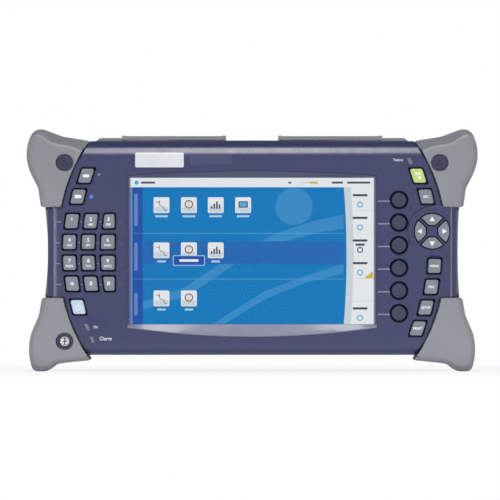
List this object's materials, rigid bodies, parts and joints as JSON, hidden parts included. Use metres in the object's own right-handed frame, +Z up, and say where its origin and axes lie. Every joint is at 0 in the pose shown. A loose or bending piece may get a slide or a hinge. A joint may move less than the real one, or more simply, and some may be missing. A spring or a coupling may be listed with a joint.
{
  "type": "optical time domain reflectometer",
  "caption": "Handheld fibre tester with a wide screen, keypads on both sides, corner bumpers, a prop stand, top doors and a plug-in optical module.",
  "frame": {"origin": "on the surface that the two lower bumpers stand on, under the middle of the whole object", "axes": "+X to the right and +Z up as the user faces the screen, which looks along -Y"},
  "size_m": [0.3228, 0.092, 0.1732],
  "materials": {
    "case_blue": "blue-violet paint over fine moulded texture",
    "shell_grey": "light grey moulded texture",
    "bumper_grey": "soft matt rubber",
    "key_grey": "hard silicone-touch cap, satin",
    "soft_key_blue": "satin",
    "power_key_pale": "satin",
    "start_key_green": "satin",
    "frame_silver": "silver-lavender paint",
    "window_clear": "clear touch pane",
    "panel_dark": "matt",
    "board_green": "solder mask",
    "chassis_metal": "brushed sheet",
    "mat_silicone": "translucent matt",
    "battery_black": "matt",
    "seal_black": "matt",
    "plug_dark": "matt",
    "screw_steel": "bright",
    "connector_black": "fine texture",
    "connector_metal": "stamped sheet",
    "module_grey": "light grey moulded texture",
    "port_nickel": "nickel plate",
    "cap_dark": "matt",
    "stand_dark": "matt",
    "lamp_smoke": "smoked window"
  },
  "bodies": {
    "housing": {"front_cover": "case_blue", "rear_cover": "shell_grey", "body_seal": "seal_black", "display_frame": "frame_silver", "touch_window": "window_clear", "lcd_panel": "panel_dark", "chassis": "chassis_metal", "main_board": "board_green", "key_mats": "mat_silicone", "key_board": "board_green", "battery_pack": "battery_black", "loudspeaker": "panel_dark", "bumper_top_left": "bumper_grey", "bumper_top_right": "bumper_grey", "bumper_bottom_left": "bumper_grey", "bumper_bottom_right": "bumper_grey", "bumper_plugs": "plug_dark", "case_screws": "screw_steel", "dc_jack": "connector_black", "lan_usb_connector": "connector_metal", "status_leds": "lamp_smoke"},
    "function_key_1": {"function_key_1": "key_grey"},
    "function_key_2": {"function_key_2": "key_grey"},
    "digit_0": {"digit_0": "key_grey"},
    "digit_1": {"digit_1": "key_grey"},
    "digit_2": {"digit_2": "key_grey"},
    "digit_3": {"digit_3": "key_grey"},
    "digit_4": {"digit_4": "key_grey"},
    "digit_5": {"digit_5": "key_grey"},
    "digit_6": {"digit_6": "key_grey"},
    "digit_7": {"digit_7": "key_grey"},
    "digit_8": {"digit_8": "key_grey"},
    "digit_9": {"digit_9": "key_grey"},
    "star_key": {"star_key": "key_grey"},
    "hash_key": {"hash_key": "key_grey"},
    "side_key_1": {"side_key_1": "key_grey"},
    "side_key_2": {"side_key_2": "key_grey"},
    "side_key_3": {"side_key_3": "key_grey"},
    "side_key_4": {"side_key_4": "key_grey"},
    "side_key_5": {"side_key_5": "key_grey"},
    "arrow_up": {"arrow_up": "key_grey"},
    "arrow_left": {"arrow_left": "key_grey"},
    "arrow_down": {"arrow_down": "key_grey"},
    "arrow_right": {"arrow_right": "key_grey"},
    "power_key": {"power_key": "power_key_pale"},
    "start_key": {"start_key": "start_key_green"},
    "soft_key_1": {"soft_key_1": "soft_key_blue"},
    "soft_key_2": {"soft_key_2": "soft_key_blue"},
    "soft_key_3": {"soft_key_3": "soft_key_blue"},
    "soft_key_4": {"soft_key_4": "soft_key_blue"},
    "soft_key_5": {"soft_key_5": "soft_key_blue"},
    "soft_key_6": {"soft_key_6": "soft_key_blue"},
    "door_left": {"connector_door_left": "shell_grey"},
    "door_right": {"connector_door_right": "shell_grey"},
    "stand": {"prop_stand": "stand_dark"},
    "module": {"module_case": "module_grey", "module_board": "board_green", "optical_port": "port_nickel", "module_screws": "screw_steel"},
    "flap": {"port_cap": "cap_dark"}
  },
  "joints": [
    {"name": "door_left_hinge", "type": "hinge", "parent": "housing", "child": "door_left", "pos_m": [-0.05615, 0.01, 0.1671], "axis": [-1, 0, 0], "range_deg": [0, 105]},
    {"name": "door_right_hinge", "type": "hinge", "parent": "housing", "child": "door_right", "pos_m": [0.05615, 0.01, 0.1671], "axis": [-1, 0, 0], "range_deg": [0, 105]},
    {"name": "stand_hinge", "type": "hinge", "parent": "housing", "child": "stand", "pos_m": [0, 0.0401, 0.112], "axis": [1, 0, 0], "range_deg": [0, 60]},
    {"name": "module_slide", "type": "slide", "parent": "housing", "child": "module", "axis": [0, 1, 0], "range_m": [0, 0.04]},
    {"name": "flap_hinge", "type": "hinge", "parent": "module", "child": "flap", "pos_m": [0.062, 0.0364, 0.1617], "axis": [-1, 0, 0], "range_deg": [0, 100]},
    {"name": "digit_5_press", "type": "slide", "parent": "housing", "child": "digit_5", "axis": [0, 1, 0], "range_m": [0, 0.0012], "stiffness_N_per_m": 400, "springref_m": -0.002},
    {"name": "arrow_up_press", "type": "slide", "parent": "housing", "child": "arrow_up", "axis": [0, 1, 0], "range_m": [0, 0.0012], "stiffness_N_per_m": 400, "springref_m": -0.002},
    {"name": "start_key_press", "type": "slide", "parent": "housing", "child": "start_key", "axis": [0, 1, 0], "range_m": [0, 0.0012], "stiffness_N_per_m": 400, "springref_m": -0.002},
    {"name": "soft_key_1_press", "type": "slide", "parent": "housing", "child": "soft_key_1", "axis": [0, 1, 0], "range_m": [0, 0.0012], "stiffness_N_per_m": 400, "springref_m": -0.002},
    {"name": "function_key_1_press", "type": "slide", "parent": "housing", "child": "function_key_1", "axis": [0, 1, 0], "range_m": [0, 0.0012], "stiffness_N_per_m": 400, "springref_m": -0.002},
    {"name": "function_key_2_press", "type": "slide", "parent": "housing", "child": "function_key_2", "axis": [0, 1, 0], "range_m": [0, 0.0012], "stiffness_N_per_m": 400, "springref_m": -0.002},
    {"name": "digit_0_press", "type": "slide", "parent": "housing", "child": "digit_0", "axis": [0, 1, 0], "range_m": [0, 0.0012], "stiffness_N_per_m": 400, "springref_m": -0.002},
    {"name": "digit_1_press", "type": "slide", "parent": "housing", "child": "digit_1", "axis": [0, 1, 0], "range_m": [0, 0.0012], "stiffness_N_per_m": 400, "springref_m": -0.002},
    {"name": "digit_2_press", "type": "slide", "parent": "housing", "child": "digit_2", "axis": [0, 1, 0], "range_m": [0, 0.0012], "stiffness_N_per_m": 400, "springref_m": -0.002},
    {"name": "digit_3_press", "type": "slide", "parent": "housing", "child": "digit_3", "axis": [0, 1, 0], "range_m": [0, 0.0012], "stiffness_N_per_m": 400, "springref_m": -0.002},
    {"name": "digit_4_press", "type": "slide", "parent": "housing", "child": "digit_4", "axis": [0, 1, 0], "range_m": [0, 0.0012], "stiffness_N_per_m": 400, "springref_m": -0.002},
    {"name": "digit_6_press", "type": "slide", "parent": "housing", "child": "digit_6", "axis": [0, 1, 0], "range_m": [0, 0.0012], "stiffness_N_per_m": 400, "springref_m": -0.002},
    {"name": "digit_7_press", "type": "slide", "parent": "housing", "child": "digit_7", "axis": [0, 1, 0], "range_m": [0, 0.0012], "stiffness_N_per_m": 400, "springref_m": -0.002},
    {"name": "digit_8_press", "type": "slide", "parent": "housing", "child": "digit_8", "axis": [0, 1, 0], "range_m": [0, 0.0012], "stiffness_N_per_m": 400, "springref_m": -0.002},
    {"name": "digit_9_press", "type": "slide", "parent": "housing", "child": "digit_9", "axis": [0, 1, 0], "range_m": [0, 0.0012], "stiffness_N_per_m": 400, "springref_m": -0.002},
    {"name": "star_key_press", "type": "slide", "parent": "housing", "child": "star_key", "axis": [0, 1, 0], "range_m": [0, 0.0012], "stiffness_N_per_m": 400, "springref_m": -0.002},
    {"name": "hash_key_press", "type": "slide", "parent": "housing", "child": "hash_key", "axis": [0, 1, 0], "range_m": [0, 0.0012], "stiffness_N_per_m": 400, "springref_m": -0.002},
    {"name": "side_key_1_press", "type": "slide", "parent": "housing", "child": "side_key_1", "axis": [0, 1, 0], "range_m": [0, 0.0012], "stiffness_N_per_m": 400, "springref_m": -0.002},
    {"name": "side_key_2_press", "type": "slide", "parent": "housing", "child": "side_key_2", "axis": [0, 1, 0], "range_m": [0, 0.0012], "stiffness_N_per_m": 400, "springref_m": -0.002},
    {"name": "side_key_3_press", "type": "slide", "parent": "housing", "child": "side_key_3", "axis": [0, 1, 0], "range_m": [0, 0.0012], "stiffness_N_per_m": 400, "springref_m": -0.002},
    {"name": "side_key_4_press", "type": "slide", "parent": "housing", "child": "side_key_4", "axis": [0, 1, 0], "range_m": [0, 0.0012], "stiffness_N_per_m": 400, "springref_m": -0.002},
    {"name": "side_key_5_press", "type": "slide", "parent": "housing", "child": "side_key_5", "axis": [0, 1, 0], "range_m": [0, 0.0012], "stiffness_N_per_m": 400, "springref_m": -0.002},
    {"name": "arrow_left_press", "type": "slide", "parent": "housing", "child": "arrow_left", "axis": [0, 1, 0], "range_m": [0, 0.0012], "stiffness_N_per_m": 400, "springref_m": -0.002},
    {"name": "arrow_down_press", "type": "slide", "parent": "housing", "child": "arrow_down", "axis": [0, 1, 0], "range_m": [0, 0.0012], "stiffness_N_per_m": 400, "springref_m": -0.002},
    {"name": "arrow_right_press", "type": "slide", "parent": "housing", "child": "arrow_right", "axis": [0, 1, 0], "range_m": [0, 0.0012], "stiffness_N_per_m": 400, "springref_m": -0.002},
    {"name": "power_key_press", "type": "slide", "parent": "housing", "child": "power_key", "axis": [0, 1, 0], "range_m": [0, 0.0012], "stiffness_N_per_m": 400, "springref_m": -0.002},
    {"name": "soft_key_2_press", "type": "slide", "parent": "housing", "child": "soft_key_2", "axis": [0, 1, 0], "range_m": [0, 0.0012], "stiffness_N_per_m": 400, "springref_m": -0.002},
    {"name": "soft_key_3_press", "type": "slide", "parent": "housing", "child": "soft_key_3", "axis": [0, 1, 0], "range_m": [0, 0.0012], "stiffness_N_per_m": 400, "springref_m": -0.002},
    {"name": "soft_key_4_press", "type": "slide", "parent": "housing", "child": "soft_key_4", "axis": [0, 1, 0], "range_m": [0, 0.0012], "stiffness_N_per_m": 400, "springref_m": -0.002},
    {"name": "soft_key_5_press", "type": "slide", "parent": "housing", "child": "soft_key_5", "axis": [0, 1, 0], "range_m": [0, 0.0012], "stiffness_N_per_m": 400, "springref_m": -0.002},
    {"name": "soft_key_6_press", "type": "slide", "parent": "housing", "child": "soft_key_6", "axis": [0, 1, 0], "range_m": [0, 0.0012], "stiffness_N_per_m": 400, "springref_m": -0.002}
  ]
}
